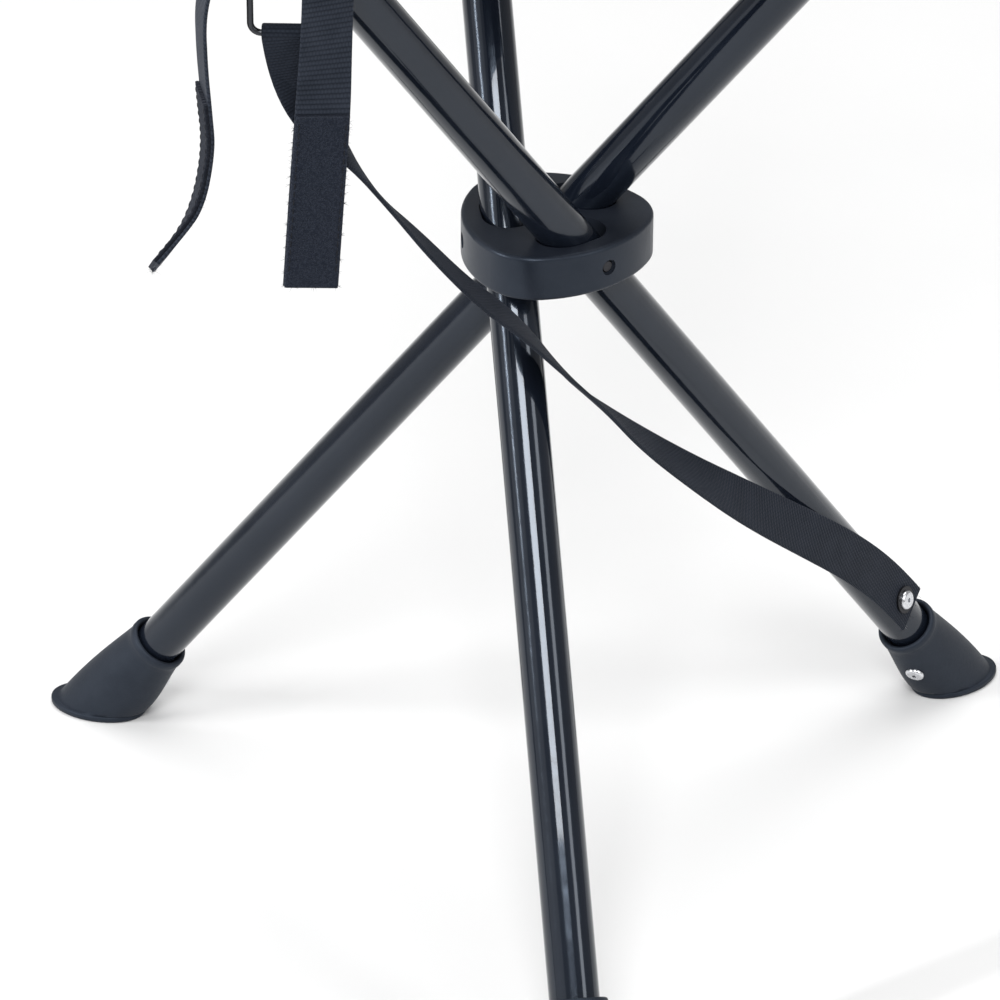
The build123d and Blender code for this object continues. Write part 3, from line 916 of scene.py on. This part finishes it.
def carry_line():
    """The carry strap's middle line and its across directions, from the ring's bar to under the rivet."""
    points = [leg_place(x, aside, z) for x, aside, z, _ in CARRY_ROUTE]
    down = -LEG_A.axis
    pad = LEG_A.at(-RIVET_AT, TUBE_R + 0.1 * MM + WEB_THICK / 2, RIVET_TURN)
    out = (pad - LEG_A.at(-RIVET_AT)).normalized()
    across = []
    for i, point in enumerate(points):
        after = points[i + 1] if i + 1 < len(points) else pad - down * 10 * MM
        run = (after - points[max(i - 1, 0)]).normalized()
        level = run.cross(-LEG_A.pin).normalized()
        side = level.cross(run)
        twist = math.radians(CARRY_ROUTE[i][3])
        across.append(level * math.sin(twist) + side * math.cos(twist))
    for step in (-10 * MM, 8 * MM):
        points.append(pad + down * step)
        across.append(out.cross(down))
    return nurbs(points), nurbs(across)


def ring_frame():
    """The middle of the ring's lower bar, the bar's direction, and the level one square to it."""
    bar = LEG_A.foot * math.cos(RING_TURN) - LEG_A.pin * math.sin(RING_TURN)
    return leg_place(*RING_BAR), bar, bar.cross(UP)


def fibres(name, line, across, normals, where, count, long, radius, material, rng, sideways=1.0):
    """Loose fibres out of a strap. where draws a point of the line and a place across it, -1 to 1."""
    runs = runs_of(line)
    made = []
    for _ in range(count):
        i, edge = where(rng)
        root = line[i] + across[i] * edge * (WEB_WIDE / 2 - 0.3 * MM)
        aim = across[i] * (edge * rng.uniform(0.3, 1.0)) * sideways
        aim += normals[i] * rng.uniform(-0.7, 0.7) + runs[i] * rng.uniform(-0.8, 0.8)
        aim.normalize()
        bend = Vector((rng.uniform(-1, 1), rng.uniform(-1, 1), rng.uniform(-1, 0.4)))
        size = long * rng.uniform(0.5, 1.0)
        bowed = [root + aim * size * s + bend * (size * 0.35 * s * s) for s in (0.0, 0.35, 0.7, 1.0)]
        made.append(rod("fibre", bowed, radius, material, sides=4, taper=True))
    return joined(name, made)


LOOP_R = RING_WIRE_R + 0.3 * MM + WEB_THICK / 2  # webbing's middle line round the ring's wire
FACE = WEB_THICK / 2 + 0.05 * MM  # from the webbing's middle line to the stitches on its face


def carry_strap():
    """The strap, its fold round the ring's lower bar, the seam that holds the fold, and its frayed end."""
    line, across = carry_line()
    strap = band("carry_strap_web", line, across, WEB_WIDE, WEB_THICK, STRAP_WEB)
    settle(strap, "leg_a", "strap_web", "carry_strap")
    sides, normals = squared(line, across)
    far = distances(line)

    bar, along_bar, away = ring_frame()
    lower = next(i for i, d in enumerate(far) if d > 17 * MM)
    upper = next(i for i, d in enumerate(far) if d > 5 * MM)
    flat_side = normals[upper] if normals[upper].dot(away) > 0 else -normals[upper]
    behind = WEB_THICK + 0.15 * MM
    path = [line[lower] + flat_side * behind, line[upper] + flat_side * (behind + 0.4 * MM)]
    for out, up in ((1.1, -0.6), (1.25, 0.7), (0, 1.45), (-1.25, 0.7), (-1.1, -0.6)):
        path.append(bar + away * LOOP_R * out + UP * LOOP_R * up)
    fold_line = nurbs(path + [line[1]], 8)
    fold = band("carry_strap_fold", fold_line, [along_bar] * len(fold_line), WEB_WIDE, WEB_THICK, STRAP_WEB)
    settle(fold, "leg_a", "strap_web")

    rng = random.Random(5)
    end = len(line) - 1
    frayed = fibres(
        "carry_strap_fray", line, sides, normals, lambda r: (end, r.uniform(-1, 1)), 26, 3.4 * MM,
        0.085 * MM, STRAP_WEB, rng, 0.4,
    )
    pale = fibres(
        "carry_strap_fray_core", line, sides, normals,
        lambda r: (end, r.choice((-1, 1)) * r.uniform(0.6, 1)), 7, 3.0 * MM, 0.09 * MM, CORE, rng, 0.6,
    )
    for piece in (frayed, pale):
        settle(piece, "leg_a", "strap_web")

    def face_spot(i, share):
        return line[i] + sides[i] * WEB_WIDE * share - flat_side * FACE

    rows = [[face_spot(i, share) for i in range(upper, lower + 1)] for share in (-0.38, 0.38)]
    rows += [[face_spot(i, share) for share in (-0.38, 0.0, 0.38)] for i in (upper + 1, lower - 1)]
    made = [stitches("seam", row, [-flat_side] * len(row), STRAP_STITCH) for row in rows]
    sewn = settle(joined("carry_strap_seam", made), "leg_a", "strap_web")


def ring_tab():
    """The webbing loop through the ring's upper bar, with both layers sewn to the pocket above it."""
    bar, along_bar, away = ring_frame()
    top = bar + UP * RING_HIGH
    height = LEG_A.at(214 * MM, POCKET_R + 0.8 * MM, math.radians(150)).z - top.z
    near = [top + away * FACE + UP * height, top + away * FACE + UP * (LOOP_R * 2.1)]
    turns = ((1.25, 0.3), (1.1, -0.9), (0, -1.4), (-1.1, -0.9), (-1.25, 0.3))
    round_bar = [top + away * LOOP_R * out + UP * LOOP_R * up for out, up in turns]
    far = [top - away * FACE + UP * (LOOP_R * 2.1), top - away * FACE + UP * height]
    line = nurbs(near + round_bar + far, 8)
    piece = band("ring_tab_web", line, [along_bar] * len(line), WEB_WIDE * 0.98, WEB_THICK, STRAP_WEB)
    settle(piece, "leg_a", "strap_web", "ring_tab")


TAPE_LIFT = WEB_THICK / 2 + 0.72 * MM  # middle of the tape above the middle of the webbing
TAPE_FACE = WEB_THICK / 2 + 1.38 * MM


def closure_tail(name, route, across_points, outward, tape_from, tape_material, tape_name, seed):
    """One tail of the closing strap, with tape on its outward face from that point of its route on."""
    points = [leg_place(*p) for p in route]
    line, across = nurbs(points), nurbs(across_points)
    sides, normals = squared(line, across)
    strap = band(f"{name}_web", line, across, WEB_WIDE, WEB_THICK, TAIL_WEB)
    settle(strap, "leg_a", "strap_web", name)
    first = next(i for i, p in enumerate(line) if (p - points[tape_from]).length < 5 * MM)
    turned_out = 1 if normals[-1].dot(outward) > 0 else -1
    tape = band(
        f"{tape_name}_pile", line[first:], across[first:], WEB_WIDE * 0.97, 1.5 * MM, tape_material,
        lift=turned_out * TAPE_LIFT,
    )
    settle(tape, "leg_a", tape_name.replace("_tape", "_pile"), tape_name)
    rng = random.Random(seed)
    last = len(line) - 1
    fuzz = fibres(
        f"{name}_fuzz", line, sides, [n * turned_out for n in normals],
        lambda r: (r.randint(first, last), r.choice((-1, 1))), 150, 1.9 * MM, 0.07 * MM, tape_material, rng,
    )
    ends = fibres(
        f"{name}_fray", line, sides, normals, lambda r: (last, r.uniform(-1, 1)), 30, 2.8 * MM, 0.07 * MM,
        tape_material, rng, 0.5,
    )
    taped = range(first + 1, last)
    outs = [normals[i] * turned_out for i in taped]
    made = []
    for share in (-0.42, 0.42):
        edge = [line[i] + sides[i] * WEB_WIDE * share + normals[i] * (turned_out * TAPE_FACE) for i in taped]
        made.append(stitches("seam", edge, outs, TAPE_STITCH))
    sewn = joined(f"{name}_seam", made)
    for piece in (fuzz, ends, sewn):
        settle(piece, "leg_a", "strap_web")
    round(distances(line)[-1], 3)


def closure_strap():
    """Both tails. Each list gives the way across the strap at each point of its route."""
    front = [leg_direction(0.95, -0.3, -0.12)] + [leg_direction(0.97, -0.22, 0)] * 3
    front += [leg_direction(0.86, -0.5, 0)] * (len(FRONT_TAIL) - 4)
    closure_tail(
        "closure_tail_front", FRONT_TAIL, front, leg_direction(-0.5, -0.86, 0), 4, LOOP_PILE, "loop_tape",
        21,
    )
    back = [leg_direction(0.2, 0.97, 0)] * 2 + [leg_direction(0.35, 0.93, 0), leg_direction(0.45, 0.9, -0.1)]
    back += [leg_direction(0.45, 0.86, -0.2)] * 3 + [leg_direction(0.45, 0.8, -0.35)] * 2
    back += [leg_direction(0.42, 0.72, -0.55)] * 2
    closure_tail(
        "closure_tail_back", BACK_TAIL, back, leg_direction(-1, 0, 0), 6, HOOK_PILE, "hook_tape", 34,
    )


carry_strap()
ring_tab()
closure_strap()


# ================================================================ floor, lights and camera
FLOOR_SIZE = 30.0
LIGHT_AWAY = 2.7
# Lights off the front leg's lower part, with their long sides along it, that draw the streaks on its gloss:
# name, direction from it, how far up the leg's line, width and length, and power in watts.
LEG_LIGHTS = [
    ("key", (-0.171, -0.782, 0.600), 0.58, (0.9, 0.9), 48.0),
    ("strip_left", (-0.926, -0.300, 0.230), 0.98, (0.12, 1.2), 50.0),
    ("panel_left", (-0.926, -0.300, 0.230), 0.30, (2.4, 2.2), 10.0),
    ("strip_right", (0.672, -0.588, 0.452), 0.30, (0.7, 1.8), 20.0),
]
TOP_LIGHT = ("top", (0.2, 0.7, 2.9), (2.0, 2.0), 50.0)
WORLD_LIGHT = 0.36
CAMERA_FROM_HUB = Vector((-0.3228, -2.0005, 1.0476))
CAMERA_PITCH = math.radians(29.86)
CAMERA_YAW = math.radians(8.63)
CAMERA_ROLL = math.radians(0.32)
CAMERA_LENS = 217.5


def floor():
    bpy.ops.mesh.primitive_plane_add(size=FLOOR_SIZE)
    plane = bpy.context.object
    plane.name = "floor"
    m = Nodes("floor")
    grain = m.noise(m.object_place(), 3, 3.0)
    shade = m.colours(grain, [(0.3, (0.68, 0.68, 0.68)), (0.7, (0.71, 0.71, 0.71))])
    plane.data.materials.append(m.finish(Base_Color=shade, Roughness=0.9))


def area_light(name, place, turned, wide, long, power):
    data = bpy.data.lights.new(name, "AREA")
    data.shape = "RECTANGLE"
    data.size = wide
    data.size_y = long
    data.energy = power
    lamp = bpy.data.objects.new(name, data)
    lamp.matrix_world = Matrix.Translation(place) @ turned.to_4x4()
    lamp.visible_camera = False
    bpy.context.scene.collection.objects.link(lamp)


def lights():
    front = LEGS["c"]
    shin = front.at(-0.5 * LEG_DOWN)
    for name, direction, up_leg, (wide, long), power in LEG_LIGHTS:
        back = Vector(direction)
        back = (back - front.axis * front.axis.dot(back)).normalized()
        turned = Matrix((front.axis.cross(back), front.axis, back)).transposed()
        area_light(name, shin + back * LIGHT_AWAY + front.axis * up_leg, turned, wide, long, power)
    name, place, (wide, long), power = TOP_LIGHT
    turned = (HUB_CENTRE - Vector(place)).to_track_quat("-Z", "Y").to_matrix()
    area_light(name, Vector(place), turned, wide, long, power)
    world = bpy.data.worlds.new("studio")
    world.use_nodes = True
    background = world.node_tree.nodes["Background"]
    background.inputs["Color"].default_value = (1, 1, 1, 1)
    background.inputs["Strength"].default_value = WORLD_LIGHT
    bpy.context.scene.world = world
    bpy.context.scene.view_settings.view_transform = "Standard"


def camera():
    forward = Vector((
        math.sin(CAMERA_YAW) * math.cos(CAMERA_PITCH), math.cos(CAMERA_YAW) * math.cos(CAMERA_PITCH),
        -math.sin(CAMERA_PITCH),
    ))
    level = Vector((math.cos(CAMERA_YAW), -math.sin(CAMERA_YAW), 0))
    above = level.cross(forward)
    right = level * math.cos(CAMERA_ROLL) + above * math.sin(CAMERA_ROLL)
    up = above * math.cos(CAMERA_ROLL) - level * math.sin(CAMERA_ROLL)
    data = bpy.data.cameras.new("camera")
    data.lens = CAMERA_LENS
    data.sensor_width = 36
    data.clip_end = 100
    eye = bpy.data.objects.new("camera", data)
    turned = Matrix((right, up, -forward)).transposed().to_4x4()
    eye.matrix_world = Matrix.Translation(HUB_CENTRE + CAMERA_FROM_HUB) @ turned
    bpy.context.scene.collection.objects.link(eye)
    bpy.context.scene.camera = eye


floor()
lights()
camera()
